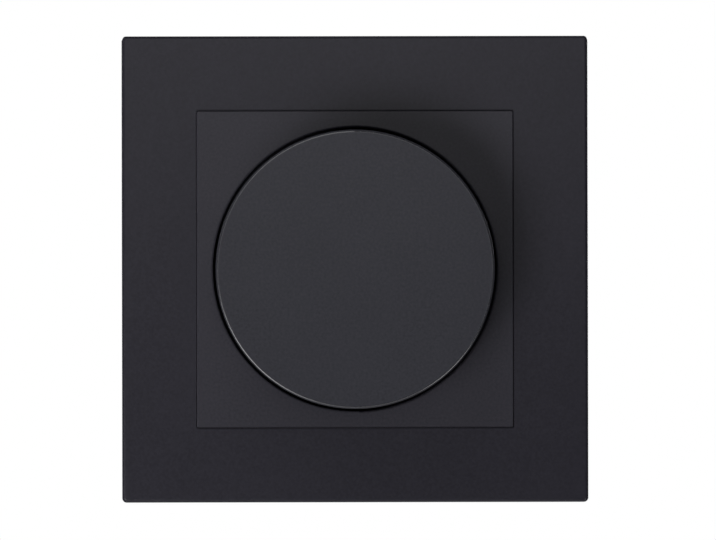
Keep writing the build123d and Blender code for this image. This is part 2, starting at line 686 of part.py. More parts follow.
def trimmer_stem():
    """Stem of the adjuster with a screwdriver slot, reached from the front."""
    top = support_front - TRIMMER_INSET
    shoulder = board_front + TRIMMER_HEIGHT + RUNNING_CLEARANCE
    pin_end = shoulder - TRIMMER_PIN_DEPTH
    stem = disc(TRIMMER_STEM_DIAMETER, shoulder, top)
    stem += disc(TRIMMER_PIN_DIAMETER, pin_end, shoulder)
    slot_bottom = top - TRIMMER_SLOT_DEPTH
    stem -= block(TRIMMER_SLOT_WIDTH, TRIMMER_STEM_DIAMETER, slot_bottom, top)
    return Pos(0, trimmer_offset, 0) * stem


def power_transistors():
    """Two flat power transistors on the front of the board."""
    width, depth, height = TRANSISTOR_SIZE
    tab_width, tab_depth, tab_height = TRANSISTOR_TAB
    body = block(width, depth, board_front, board_front + height)
    tab_middle = (depth + tab_depth) / 2
    body += block(tab_width, tab_depth, board_front, board_front + tab_height, y=tab_middle)
    return Compound([Pos(side * TRANSISTOR_OFFSET, 0, 0) * body for side in (-1, 1)])


def controller_chip():
    """Small control chip on the front of the board."""
    width, depth, height = CHIP_SIZE
    x, y = CHIP_CENTER
    return block(width, depth, board_front, board_front + height, x, y)


def bridge_rectifier():
    """Flat rectifier on the back of the board."""
    width, depth, height = RECTIFIER_SIZE
    x, y = RECTIFIER_CENTER
    return block(width, depth, board_rear - height, board_rear, x, y)


def film_capacitor():
    """Boxed capacitor on the back of the board."""
    width, depth, height = FILM_SIZE
    x, y = FILM_CENTER
    return block(width, depth, board_rear - height, board_rear, x, y)


def electrolytic_capacitor():
    """Round capacitor on the back of the board."""
    x, y = ELECTROLYTIC_CENTER
    return disc(ELECTROLYTIC_DIAMETER, board_rear - ELECTROLYTIC_HEIGHT, board_rear, x, y)


def choke_core():
    """Spool-shaped ferrite core on the back of the board."""
    x, y = CHOKE_CENTER
    rear = board_rear - CHOKE_HEIGHT
    core = disc(CHOKE_DIAMETER, board_rear - CHOKE_FLANGE, board_rear, x, y)
    core += disc(CHOKE_NECK_DIAMETER, rear, board_rear, x, y)
    return core + disc(CHOKE_DIAMETER, rear, rear + CHOKE_FLANGE, x, y)


def choke_winding():
    """Wire wound on the core, as one ring."""
    x, y = CHOKE_CENTER
    rear = board_rear - CHOKE_HEIGHT + CHOKE_FLANGE
    front = board_rear - CHOKE_FLANGE
    ring = disc(CHOKE_WINDING_DIAMETER, rear, front, x, y)
    return ring - disc(CHOKE_NECK_DIAMETER, rear, front, x, y)


def varistor():
    """Round varistor standing on the back of the board."""
    x, y = VARISTOR_CENTER
    wafer = disc(VARISTOR_DIAMETER, -VARISTOR_THICKNESS / 2, VARISTOR_THICKNESS / 2)
    middle = board_rear - VARISTOR_FOOT - VARISTOR_DIAMETER / 2
    wafer = Pos(x, y, middle) * Rot(90, 0, 0) * wafer
    return wafer + block(
        VARISTOR_DIAMETER / 2, VARISTOR_THICKNESS / 2, middle, board_rear, x, y
    )


PIECES = {
    "cover_frame": cover_frame,
    "center_plate": center_plate,
    "knob": knob,
    "hub_ring": hub_ring,
    "lock_washer": lock_washer,
    "fixing_nut": fixing_nut,
    "threaded_bush": threaded_bush,
    "shaft": shaft,
    "shaft_circlip": shaft_circlip,
    "pot_housing": pot_housing,
    "wiper_rotor": wiper_rotor,
    "wiper_contacts": wiper_contacts,
    "resistor_track": resistor_track,
    "pot_base": pot_base,
    "pot_pins": pot_pins,
    "push_switch_housing": push_switch_housing,
    "switch_plunger": switch_plunger,
    "contact_bridge": contact_bridge,
    "switch_contacts": switch_contacts,
    "return_dome": return_dome,
    "support_plate": support_plate,
    "front_housing": front_housing,
    "rear_housing": rear_housing,
    "housing_screws": housing_screws,
    "circuit_board": circuit_board,
    "terminal_block": terminal_block,
    "terminal_cages": terminal_cages,
    "terminal_screws": terminal_screws,
    "trimmer_body": trimmer_body,
    "trimmer_stem": trimmer_stem,
    "power_transistors": power_transistors,
    "controller_chip": controller_chip,
    "bridge_rectifier": bridge_rectifier,
    "film_capacitor": film_capacitor,
    "electrolytic_capacitor": electrolytic_capacitor,
    "choke_core": choke_core,
    "choke_winding": choke_winding,
    "varistor": varistor,
}

os.makedirs("parts", exist_ok=True)
for name, make in PIECES.items():
    export_step(Rot(90, 0, 0) * make(), f"parts/{name}.step")
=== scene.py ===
"""Looks of a flush wall dimmer with a turn-and-push knob, laid over its CAD frame.

Laid out as a Blender add-on and run as a script: it dresses the CAD nodes, adds the small
hardware that the solids leave plain, and sets the studio. Lengths are in metres, the front
looks along -Y and +Z is up.
"""

import json
import math

import bmesh
import bpy
from bpy.props import FloatProperty, FloatVectorProperty, IntProperty, PointerProperty
from mathutils import Euler, Matrix, Vector


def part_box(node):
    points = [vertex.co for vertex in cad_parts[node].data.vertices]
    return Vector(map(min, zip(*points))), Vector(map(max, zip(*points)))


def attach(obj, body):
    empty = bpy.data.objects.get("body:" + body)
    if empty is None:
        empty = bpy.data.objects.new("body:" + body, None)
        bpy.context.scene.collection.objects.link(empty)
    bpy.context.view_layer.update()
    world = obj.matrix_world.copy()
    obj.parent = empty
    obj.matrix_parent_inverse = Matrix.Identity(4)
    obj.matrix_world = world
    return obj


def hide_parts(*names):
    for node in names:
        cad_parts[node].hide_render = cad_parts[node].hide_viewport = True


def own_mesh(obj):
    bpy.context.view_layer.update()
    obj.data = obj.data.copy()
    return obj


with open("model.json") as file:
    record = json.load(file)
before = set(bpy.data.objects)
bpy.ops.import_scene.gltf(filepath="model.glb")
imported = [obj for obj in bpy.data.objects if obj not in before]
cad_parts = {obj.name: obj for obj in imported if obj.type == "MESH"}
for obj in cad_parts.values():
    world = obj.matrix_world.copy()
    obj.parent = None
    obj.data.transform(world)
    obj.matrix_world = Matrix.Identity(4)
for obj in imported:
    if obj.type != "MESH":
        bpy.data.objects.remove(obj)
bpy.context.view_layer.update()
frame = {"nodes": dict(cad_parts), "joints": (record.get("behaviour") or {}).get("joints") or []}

bl_info = {
    "name": "Wall dimmer looks",
    "version": (1, 0, 0),
    "blender": (4, 5, 0),
    "location": "View3D > Sidebar > Dimmer",
    "description": "Finishes, small hardware and studio for a flush wall dimmer",
    "category": "Object",
}

MM = 0.001
SMOOTH_ANGLE = math.radians(35)


# Node trees

class Link:
    """A node's output; arithmetic on it adds Math nodes to the same tree."""

    def __init__(self, tree, socket):
        self.tree = tree
        self.socket = socket

    def math(self, operation, left, right=0.0):
        inputs = {0: left, 1: right}
        return self.tree.add("ShaderNodeMath", {"operation": operation}, inputs)["Value"]

    def __add__(self, other):
        return self.math("ADD", self, other)

    __radd__ = __add__

    def __sub__(self, other):
        return self.math("SUBTRACT", self, other)

    def __rsub__(self, other):
        return self.math("SUBTRACT", other, self)

    def __mul__(self, other):
        return self.math("MULTIPLY", self, other)

    __rmul__ = __mul__

    def __truediv__(self, other):
        return self.math("DIVIDE", self, other)

    def __gt__(self, other):
        return self.math("GREATER_THAN", self, other)

    def __lt__(self, other):
        return self.math("LESS_THAN", self, other)

    def __abs__(self):
        return self.math("ABSOLUTE", self)

    def least(self, other):
        return self.math("MINIMUM", self, other)

    def most(self, other):
        return self.math("MAXIMUM", self, other)

    def held(self):
        """Held between 0 and 1."""
        return self.most(0.0).least(1.0)

    def root(self):
        return self.math("SQRT", self)

    def fraction(self):
        return self.math("FRACT", self)

    def sine(self):
        return self.math("SINE", self)

    def cosine(self):
        return self.math("COSINE", self)


class Node:
    """A node just added, whose outputs are read by name or place."""

    def __init__(self, tree, node):
        self.tree = tree
        self.node = node

    def __getitem__(self, key):
        return Link(self.tree, self.node.outputs[key])


class Tree:
    """A shader or geometry tree that grows one node at a time."""

    def __init__(self, tree):
        self.tree = tree

    def add(self, kind, settings=None, inputs=None):
        """Adds a node: first its settings, then its sockets."""
        node = self.tree.nodes.new(kind)
        for key, value in (settings or {}).items():
            setattr(node, key, value)
        for key, value in (inputs or {}).items():
            if isinstance(value, Link):
                self.tree.links.new(value.socket, node.inputs[key])
            else:
                node.inputs[key].default_value = value
        return Node(self, node)

    def place(self):
        """The piece's own coordinates, in metres."""
        return self.add("ShaderNodeTexCoord")["Object"]

    def stretched(self, scale):
        """The piece's own coordinates, drawn out or squeezed along each axis."""
        inputs = {"Vector": self.place(), "Scale": scale}
        return self.add("ShaderNodeMapping", None, inputs)["Vector"]

    def noise(self, vector, size, detail=2.0):
        """Cloudy noise with spots of about the given size, from 0 to 1."""
        inputs = {"Vector": vector, "Scale": 1.0 / size, "Detail": detail}
        return self.add("ShaderNodeTexNoise", None, inputs)["Fac"]

    def mix(self, share, first, second):
        """Two colours mixed by a share."""
        inputs = {0: share, 6: rgba(first), 7: rgba(second)}
        settings = {"data_type": "RGBA", "clamp_factor": True}
        return self.add("ShaderNodeMix", settings, inputs)[2]

    def bump(self, height, depth):
        """The surface's normal over a height map from 0 to 1."""
        inputs = {"Strength": 1.0, "Distance": depth, "Height": height}
        return self.add("ShaderNodeBump", None, inputs)["Normal"]


def rgba(colour):
    """A colour with its alpha, or a link as it is."""
    return colour if isinstance(colour, Link) else (*colour[:3], 1.0)


def shade(colour, factor):
    """A colour made darker or lighter."""
    return tuple(min(1.0, channel * factor) for channel in colour[:3])


def fade(inside, width):
    """A mask that rises from 0 at a border to 1 at the given width inside it."""
    return (inside / width).held()


def new_material(name):
    """An empty node material and its tree."""
    material = bpy.data.materials.get(name) or bpy.data.materials.new(name)
    material.use_nodes = True
    material.node_tree.nodes.clear()
    return material, Tree(material.node_tree)


def surface(tree, **sockets):
    """Ends a material in one Principled shader with the sockets given by name."""
    inputs = {name.replace("_", " "): value for name, value in sockets.items()}
    shader = tree.add("ShaderNodeBsdfPrincipled", None, inputs)["BSDF"]
    tree.add("ShaderNodeOutputMaterial", None, {"Surface": shader})


# Finishes

# Colours that the settings leave alone
ZINC = (0.6, 0.61, 0.6)
BRASS = (0.78, 0.6, 0.28)
COPPER = (0.72, 0.34, 0.18)
PLATED_STEEL = (0.66, 0.66, 0.64)
SPRING_STEEL = (0.45, 0.45, 0.46)
WHITE_PLASTIC = (0.8, 0.8, 0.77)
DARK_PLASTIC = (0.04, 0.04, 0.042)
DOME_RUBBER = (0.55, 0.56, 0.55)
BOARD_GREEN = (0.03, 0.16, 0.07)
FERRITE = (0.07, 0.07, 0.075)
FILM_YELLOW = (0.75, 0.5, 0.06)
SLEEVE_BLUE = (0.03, 0.04, 0.09)
VARISTOR_BLUE = (0.04, 0.12, 0.4)

CLOUD_SIZE = 12 * MM

# The black mouldings: painted shade, dark and glossless, in the well, rougher on the frame's
# flanks, part painted shade on the ledges in the level joints above and below the plate, and
# polished on the knob's rim
WELL_DEPTH_FADE = 0.3 * MM
WELL_RADIUS_FADE = 0.15 * MM
FLANK_START = 0.6 * MM
FLANK_FADE = 0.3 * MM
FLANK_ROUGHNESS = 0.3
LEDGE_INSIDE = 0.25 * MM
LEDGE_OUTSIDE = 0.35 * MM
LEDGE_PAST_END = 0.15 * MM
LEDGE_FADE = 0.1 * MM
LEDGE_PAINTED_SHADE = 0.35
PAINTED_SHADE_FACTOR = 0.3
POLISH_INNER_FADE = 0.12 * MM
POLISH_OUTER_FADE = 0.08 * MM


def front_plastic(name, colour, gloss, finish, joint, handled=None):
    """Black moulding with a fine grain, painted shade in its well and joint ledges, and polished
    places.

    joint is the y behind which, and the radius within which, the well round the knob is painted
    dark as shade and left without gloss.
    handled holds the radii between which fingers polish the piece.
    """
    material, tree = new_material(name)
    place = tree.place()
    parts = tree.add("ShaderNodeSeparateXYZ", None, {"Vector": place})
    radius = (parts["X"] * parts["X"] + parts["Z"] * parts["Z"]).root()
    across, up = abs(parts["X"]), abs(parts["Z"])
    depth = parts["Y"] - joint[0]
    well = fade(depth, WELL_DEPTH_FADE) * fade(joint[1] - radius, WELL_RADIUS_FADE)
    flank = fade(depth - FLANK_START, FLANK_FADE)
    half = finish.plate_width / 2
    # Painted shade on the ledges of the level joints above and below the plate
    ledge = fade(up - (half - LEDGE_INSIDE), LEDGE_FADE)
    ledge = ledge * fade(half + LEDGE_OUTSIDE - up, LEDGE_FADE)
    ledge = ledge * fade(half + LEDGE_PAST_END - across, LEDGE_FADE)
    # Painted shade: the well, and the ledges by a share, mix toward a darkened copy without gloss
    painted_shade = well.most(ledge * LEDGE_PAINTED_SHADE)
    fine = tree.noise(place, finish.grain_size)
    cloud = tree.noise(place, CLOUD_SIZE)
    share = 0.5 + (fine - 0.5) * 0.9 + (cloud - 0.5) * 0.2
    contrast = finish.grain_contrast
    roughness = finish.front_roughness + flank * FLANK_ROUGHNESS
    clean = {
        "Base Color": tree.mix(share, shade(colour, 1 - contrast), shade(colour, 1 + contrast)),
        "Roughness": roughness + (fine - 0.5) * 0.03 + (cloud - 0.5) * 0.012,
        "Specular IOR Level": gloss,
        "Normal": tree.bump(fine, finish.grain_depth),
    }
    if handled is not None:
        inner = fade(radius - handled[0], POLISH_INNER_FADE)
        clean["Coat Weight"] = inner * fade(handled[1] - radius, POLISH_OUTER_FADE)
        clean["Coat Roughness"] = 0.22
        clean["Coat IOR"] = 2.2
    # Painted shade: the colour darkened and without gloss, put where shade falls in the joints
    painted_shade_surface = {
        "Base Color": rgba(shade(colour, PAINTED_SHADE_FACTOR)),
        "Roughness": 0.9,
        "Specular IOR Level": 0.0,
    }
    mixed = tree.add("ShaderNodeMixShader", None, {
        0: painted_shade,
        1: tree.add("ShaderNodeBsdfPrincipled", None, clean)["BSDF"],
        2: tree.add("ShaderNodeBsdfPrincipled", None, painted_shade_surface)["BSDF"],
    })["Shader"]
    tree.add("ShaderNodeOutputMaterial", None, {"Surface": mixed})
    return material


def moulded_plastic(name, colour, roughness, grain, depth, contrast=0.05, gloss=0.5):
    """Plastic from an eroded mould: a fine even grain over a faint cloudiness."""
    material, tree = new_material(name)
    place = tree.place()
    fine = tree.noise(place, grain)
    cloud = tree.noise(place, CLOUD_SIZE)
    share = 0.5 + (fine - 0.5) * 0.7 + (cloud - 0.5) * 0.6
    surface(
        tree,
        Base_Color=tree.mix(share, shade(colour, 1 - contrast), shade(colour, 1 + contrast)),
        Roughness=roughness + (fine - 0.5) * 0.08 + (cloud - 0.5) * 0.05,
        Normal=tree.bump(fine, depth),
        Specular_IOR_Level=gloss,
    )
    return material


def zinc_coat(name, colour):
    """Zinc-coated sheet: pale crystals of uneven gloss under fine rolling lines."""
    crystal, line = 1.8 * MM, 0.25 * MM
    material, tree = new_material(name)
    cells = {"Vector": tree.place(), "Scale": 1 / crystal}
    crystals = tree.add("ShaderNodeTexVoronoi", None, cells)["Color"]
    tone = tree.add("ShaderNodeSeparateColor", None, {"Color": crystals})["Red"]
    rolling = tree.noise(tree.stretched((1.0, 1.0, 0.04)), line)
    share = tone * 0.5 + rolling * 0.5
    surface(
        tree,
        Base_Color=tree.mix(share, shade(colour, 0.88), shade(colour, 1.08)),
        Metallic=1.0,
        Roughness=0.34 + tone * 0.09 + rolling * 0.1,
        Normal=tree.bump(rolling, 0.004 * MM),
    )
    return material


def turned_metal(name, colour, roughness):
    """Metal turned about the knob's axis: fine rings that follow each other along it."""
    ring = 0.18 * MM
    material, tree = new_material(name)
    lines = tree.noise(tree.stretched((0.15, 1.0, 0.15)), ring)
    stain = tree.noise(tree.place(), 3 * MM)
    surface(
        tree,
        Base_Color=tree.mix(lines * 0.6 + stain * 0.4, shade(colour, 0.84), shade(colour, 1.1)),
        Metallic=1.0,
        Roughness=roughness + (lines - 0.5) * 0.18 + (stain - 0.5) * 0.1,
        Normal=tree.bump(lines, 0.006 * MM),
    )
    return material


def enamelled_wire(name, colour):
    """Copper wire under clear enamel that pools between the turns."""
    material, tree = new_material(name)
    pool = tree.noise(tree.place(), 0.9 * MM, 3.0)
    surface(
        tree,
        Base_Color=tree.mix(pool, shade(colour, 0.7), shade(colour, 1.15)),
        Metallic=0.9,
        Roughness=0.24 + pool * 0.14,
        Coat_Weight=0.6,
        Normal=tree.bump(pool, 0.01 * MM),
    )
    return material


def board_lacquer(name, colour):
    """Board with a woven core and patches of copper under its lacquer."""
    yarn, patch, copper_share = 0.4 * MM, 2.2 * MM, 0.42
    material, tree = new_material(name)
    parts = tree.add("ShaderNodeSeparateXYZ", None, {"Vector": tree.place()})
    weave = (parts["X"] / yarn).sine() * (parts["Z"] / yarn).sine()
    cells = {"Vector": tree.stretched((1.0, 0.0, 1.0)), "Scale": 1 / patch, "Randomness": 0.55}
    runs = tree.add("ShaderNodeTexVoronoi", {"distance": "CHEBYCHEV", "feature": "F1"}, cells)
    copper = runs["Distance"] < copper_share
    lacquer = tree.mix(weave * 0.5 + 0.5, shade(colour, 0.86), shade(colour, 1.08))
    surface(
        tree,
        Base_Color=tree.mix(copper, lacquer, shade(colour, 1.7)),
        Roughness=0.34 + weave * 0.03,
        Normal=tree.bump(copper, 0.03 * MM),
        Coat_Weight=0.25,
    )
    return material


def fired_ferrite(name, colour):
    """Sintered ferrite: dark and grainy with small pits."""
    material, tree = new_material(name)
    grains = tree.noise(tree.place(), 0.3 * MM, 4.0)
    surface(
        tree,
        Base_Color=tree.mix(grains, shade(colour, 0.6), shade(colour, 1.4)),
        Roughness=0.55 + grains * 0.2,
        Normal=tree.bump(grains, 0.03 * MM),
    )
    return material


def dipped_coat(name, colour):
    """Resin or sleeve over a component: glossy and a little uneven."""
    material, tree = new_material(name)
    sag = tree.noise(tree.place(), 2.0 * MM)
    surface(
        tree,
        Base_Color=tree.mix(sag, shade(colour, 0.86), shade(colour, 1.12)),
        Roughness=0.26 + sag * 0.12,
        Coat_Weight=0.3,
        Normal=tree.bump(sag, 0.05 * MM),
    )
    return material


def dress(node, material):
    """Gives a CAD node its finish."""
    mesh = frame["nodes"][node].data
    mesh.materials.clear()
    mesh.materials.append(material)


# Meshes

def lathe(profile, segments):
    """A closed mesh turned about the Y axis from (radius, y) points."""
    shape = bmesh.new()
    angles = [math.tau * step / segments for step in range(segments)]
    rings = []
    for radius, depth in profile:
        if radius == 0:
            rings.append([shape.verts.new((0, depth, 0))])
            continue
        rings.append([
            shape.verts.new((radius * math.cos(angle), depth, radius * math.sin(angle)))
            for angle in angles
        ])
    for first, second in zip(rings, rings[1:]):
        for step in range(segments):
            following = (step + 1) % segments
            if len(first) == 1:
                shape.faces.new((first[0], second[step], second[following]))
            elif len(second) == 1:
                shape.faces.new((first[step], second[0], first[following]))
            else:
                shape.faces.new((first[step], second[step], second[following], first[following]))
    bmesh.ops.recalc_face_normals(shape, faces=shape.faces)
    return to_mesh(shape)


def to_mesh(shape):
    """A bmesh made a mesh, and freed."""
    mesh = bpy.data.meshes.new("shape")
    shape.to_mesh(mesh)
    shape.free()
    return mesh


def moved(mesh, offset, turn=(0, 0, 0)):
    """A mesh turned and then moved."""
    mesh.transform(Matrix.Translation(Vector(offset)) @ Euler(turn).to_matrix().to_4x4())
    return mesh


def evaluated(mesh, change):
    """The mesh after the modifiers that change adds to an object of it."""
    blank = bpy.data.objects.new("blank", mesh)
    bpy.context.scene.collection.objects.link(blank)
    change(blank)
    graph = bpy.context.evaluated_depsgraph_get()
    made = bpy.data.meshes.new_from_object(blank.evaluated_get(graph))
    bpy.data.objects.remove(blank)
    return made


def grown(tree, values, mesh=None):
    """The mesh that a geometry tree makes with the values of its named inputs."""
    def change(blank):
        modifier = blank.modifiers.new("tree", "NODES")
        modifier.node_group = tree
        for item in tree.interface.items_tree:
            if item.name in values:
                modifier[item.identifier] = values[item.name]

    return evaluated(mesh or bpy.data.meshes.new("seed"), change)


def cut(mesh, cutter):
    """One closed mesh less another."""
    tool = bpy.data.objects.new("cutter", cutter)
    bpy.context.scene.collection.objects.link(tool)

    def change(blank):
        modifier = blank.modifiers.new("cut", "BOOLEAN")
        modifier.object = tool
        modifier.operation = "DIFFERENCE"
        modifier.solver = "EXACT"

    made = evaluated(mesh, change)
    bpy.data.objects.remove(tool)
    return made


def bar(size, centre):
    """A square bar to cut with."""
    shape = bmesh.new()
    bmesh.ops.create_cube(shape, size=1.0)
    bmesh.ops.scale(shape, vec=size, verts=shape.verts)
    bmesh.ops.translate(shape, vec=centre, verts=shape.verts)
    return to_mesh(shape)


def join(meshes):
    """Several meshes as one."""
    shape = bmesh.new()
    for mesh in meshes:
        shape.from_mesh(mesh)
    return to_mesh(shape)


def add_piece(name, mesh, material, body, stands_for=()):
    """A finished mesh as a piece on a CAD body."""
    mesh.name = name
    mesh.materials.clear()
    mesh.materials.append(material)
    for polygon in mesh.polygons:
        polygon.material_index = 0
        polygon.use_smooth = True
    mesh.set_sharp_from_angle(angle=SMOOTH_ANGLE)
    piece = bpy.data.objects.new(name, mesh)
    bpy.context.scene.collection.objects.link(piece)
    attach(piece, body)
    if stands_for:
        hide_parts(*stands_for)
    return piece


# Geometry trees

def new_tree(name, inputs):
    """A geometry tree with named inputs, and the node that holds them."""
    group = bpy.data.node_groups.new(name, "GeometryNodeTree")
    group.interface.new_socket(name="Geometry", in_out="OUTPUT", socket_type="NodeSocketGeometry")
    for label, kind, default in inputs:
        socket = group.interface.new_socket(name=label, in_out="INPUT", socket_type=kind)
        if default is not None:
            socket.default_value = default
    tree = Tree(group)
    return group, tree, tree.add("NodeGroupInput")


def end_tree(tree, geometry, material):
    """Ends a geometry tree in realised instances with their material."""
    real = tree.add("GeometryNodeRealizeInstances", None, {"Geometry": geometry})["Geometry"]
    set_inputs = {"Geometry": real, "Material": material}
    done = tree.add("GeometryNodeSetMaterial", None, set_inputs)["Geometry"]
    tree.add("NodeGroupOutput", None, {"Geometry": done})


def rows_tree():
    """Repeats the input geometry in rows and columns in the XZ plane."""
    group, tree, given = new_tree("Rows", (
        ("Geometry", "NodeSocketGeometry", None),
        ("Columns", "NodeSocketInt", 2),
        ("Rows", "NodeSocketInt", 2),
        ("Column Spacing", "NodeSocketFloat", 10 * MM),
        ("Row Spacing", "NodeSocketFloat", 10 * MM),
        ("Material", "NodeSocketMaterial", None),
    ))
    grid = tree.add("GeometryNodeMeshGrid", None, {
        "Size X": (given["Columns"] - 1) * given["Column Spacing"],
        "Size Y": (given["Rows"] - 1) * given["Row Spacing"],
        "Vertices X": given["Columns"],
        "Vertices Y": given["Rows"],
    })["Mesh"]
    upright = tree.add("GeometryNodeTransform", None, {
        "Geometry": grid, "Rotation": (math.radians(90), 0, 0),
    })["Geometry"]
    spots = tree.add("GeometryNodeMeshToPoints", None, {"Mesh": upright})["Points"]
    copies = tree.add("GeometryNodeInstanceOnPoints", None, {
        "Points": spots, "Instance": given["Geometry"],
    })["Instances"]
    end_tree(tree, copies, given["Material"])
    return group


def thread_tree():
    """A closed threaded rod along Y: its radius follows the turn and the height."""
    crest, slope, tip_share, end = 1.6, 2.4, 0.45, 0.0005
    group, tree, given = new_tree("Thread", (
        ("Core Radius", "NodeSocketFloat", 1 * MM),
        ("Depth", "NodeSocketFloat", 0.2 * MM),
        ("Pitch", "NodeSocketFloat", 0.8 * MM),
        ("Length", "NodeSocketFloat", 10 * MM),
        ("Around", "NodeSocketInt", 24),
        ("Along", "NodeSocketInt", 80),
        ("Tip", "NodeSocketFloat", 1.2 * MM),
        ("Material", "NodeSocketMaterial", None),
    ))
    grid = tree.add("GeometryNodeMeshGrid", None, {
        "Size X": 1.0, "Size Y": 1.0,
        "Vertices X": given["Around"] + 1, "Vertices Y": given["Along"],
    })["Mesh"]
    spot = tree.add("ShaderNodeSeparateXYZ", None, {
        "Vector": tree.add("GeometryNodeInputPosition")["Position"],
    })
    turn = spot["X"] + 0.5
    share = spot["Y"] + 0.5
    height = share * given["Length"]
    wave = (height / given["Pitch"] + turn).fraction()
    ridge = (crest - abs(wave * 2 - 1) * slope).held()
    left = given["Length"] - height
    taper = (left / given["Tip"]).least(1.0)
    closed = (share > end) * (share < 1 - end)
    core = given["Core Radius"] * (taper * (1 - tip_share) + tip_share)
    radius = (core + given["Depth"] * ridge * taper) * closed
    angle = turn * math.tau
    place = tree.add("ShaderNodeCombineXYZ", None, {
        "X": radius * angle.cosine(), "Y": height, "Z": radius * angle.sine(),
    })["Vector"]
    rod = tree.add("GeometryNodeSetPosition", None, {
        "Geometry": grid, "Position": place,
    })["Geometry"]
    welded = tree.add("GeometryNodeMergeByDistance", None, {
        "Geometry": rod, "Distance": 0.002 * MM,
    })["Geometry"]
    end_tree(tree, welded, given["Material"])
    return group


def winding_tree():
    """One layer of round wire wound about an axis along Y."""
    group, tree, given = new_tree("Winding", (
        ("Radius", "NodeSocketFloat", 4 * MM),
        ("Wire", "NodeSocketFloat", 0.5 * MM),
        ("Turns", "NodeSocketFloat", 10.0),
        ("Height", "NodeSocketFloat", 6 * MM),
        ("Around", "NodeSocketInt", 32),
        ("Material", "NodeSocketMaterial", None),
    ))
    helix = tree.add("GeometryNodeCurveSpiral", None, {
        "Resolution": given["Around"], "Rotations": given["Turns"],
        "Start Radius": given["Radius"], "End Radius": given["Radius"], "Height": given["Height"],
    })["Curve"]
    section = tree.add("GeometryNodeCurvePrimitiveCircle", None, {
        "Resolution": 10, "Radius": given["Wire"] / 2,
    })["Curve"]
    wire = tree.add("GeometryNodeCurveToMesh", None, {
        "Curve": helix, "Profile Curve": section, "Fill Caps": True,
    })["Mesh"]
    along = tree.add("GeometryNodeTransform", None, {
        "Geometry": wire, "Rotation": (math.radians(-90), 0, 0),
    })["Geometry"]
    end_tree(tree, along, given["Material"])
    return group


# Settings

def colour_property(name, description, default):
    """A colour that a user can change."""
    return FloatVectorProperty(
        name=name, description=description, default=default,
        subtype="COLOR", size=3, min=0.0, max=1.0,
    )


def length_property(name, description, default):
    """A length that a user can change."""
    return FloatProperty(
        name=name, description=description, default=default,
        unit="LENGTH", precision=5, min=0.0,
    )


def factor_property(name, description, default):
    """A share that a user can change."""
    return FloatProperty(
        name=name, description=description, default=default,
        subtype="FACTOR", min=0.0, max=1.0,
    )


def angle_property(name, description, degrees):
    """An angle that a user can change."""
    return FloatProperty(
        name=name, description=description, default=math.radians(degrees), subtype="ANGLE",
    )


class FinishSettings(bpy.types.PropertyGroup):
    """Colours and surface of the mouldings."""

    frame_colour: colour_property("Frame", "Colour of the cover frame", (0.0226, 0.0216, 0.0291))
    plate_colour: colour_property("Plate", "Colour of the centre plate", (0.0341, 0.0329, 0.0416))
    knob_colour: colour_property("Knob", "Colour of the knob", (0.034, 0.0342, 0.0421))
    housing_colour: colour_property("Housing", "Colour of the insert's housing", (0.42, 0.43, 0.44))
    terminal_colour: colour_property("Terminals", "Colour of the terminals", (0.16, 0.17, 0.18))
    plate_width: length_property("Plate width", "Width of the centre plate's face", 55 * MM)
    front_roughness: factor_property("Front roughness", "Roughness of the black mouldings", 0.26)
    grain_size: length_property("Grain", "Size of the grain on the mouldings", 0.45 * MM)
    grain_depth: length_property("Grain depth", "Depth of the grain on the mouldings", 0.003 * MM)
    grain_contrast: factor_property(
        "Grain contrast", "Share by which the black mouldings' grain varies their colour", 0.3
    )


class HardwareSettings(bpy.types.PropertyGroup):
    """Sizes of the small hardware."""

    screw_pitch: length_property("Screw pitch", "Thread pitch of the housing screws", 0.95 * MM)
    thread_depth: length_property("Thread depth", "Depth of the housing screws' thread", 0.3 * MM)
    clamp_pitch: length_property("Clamp pitch", "Thread pitch of the clamp screws", 0.5 * MM)
    recess_width: length_property("Recess width", "Width of the cross in a screw head", 0.7 * MM)
    recess_depth: length_property("Recess depth", "Depth of the cross in a screw head", 0.55 * MM)
    wire_diameter: length_property("Winding wire", "Diameter of the choke's wire", 0.5 * MM)
    winding_layers: IntProperty(
        name="Winding layers", description="Layers of wire on the choke", default=3, min=1, max=6,
    )


class StageSettings(bpy.types.PropertyGroup):
    """Camera and floor."""

    distance: length_property("Distance", "Camera to the front of the plate", 0.887)
    view_width: length_property("View width", "Width of the view at the plate", 0.12429)
    rise: angle_property("Rise", "Camera's height above the plate's middle as an angle", 0.0)
    swing: angle_property("Swing", "Camera's place to the right as an angle", -0.25)
    roll: angle_property("Roll", "Camera's roll", -0.1)
    floor_drop: length_property("Floor drop", "Height of the object's axis above the floor", 0.9)
    floor_radius: length_property("Floor radius", "Radius of the floor", 2.0)


# Pieces

HEAD_SEGMENTS = 40


class DIMMER_OT_front(bpy.types.Operator):
    """Dress the cover frame, the centre plate and the knob"""

    bl_idname = "dimmer.front"
    bl_label = "Front"

    def execute(self, context):
        finish = context.scene.dimmer_finish
        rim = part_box("knob")[1].x
        joint = (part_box("center_plate")[0].y + 0.1 * MM, rim + 1.0 * MM)
        polished = (rim - 0.5 * MM, rim - 0.16 * MM)
        for node, colour, gloss, handled in (
            ("cover_frame", finish.frame_colour, 0.4, None),
            ("center_plate", finish.plate_colour, 0.35, None),
            ("knob", finish.knob_colour, 0.35, polished),
        ):
            dress(node, front_plastic(f"{node}_black", colour, gloss, finish, joint, handled))
        return {"FINISHED"}


class DIMMER_OT_insert(bpy.types.Operator):
    """Dress the support plate, the housing and the terminals"""

    bl_idname = "dimmer.insert"
    bl_label = "Insert"

    def execute(self, context):
        finish = context.scene.dimmer_finish
        grain = {"grain": finish.grain_size, "depth": 2 * finish.grain_depth}
        housing = moulded_plastic("housing_grey", finish.housing_colour, roughness=0.5, **grain)
        block = moulded_plastic("terminal_grey", finish.terminal_colour, roughness=0.48, **grain)
        dress("front_housing", housing)
        dress("rear_housing", housing)
        dress("terminal_block", block)
        dress("support_plate", zinc_coat("zinc_steel", ZINC))
        return {"FINISHED"}


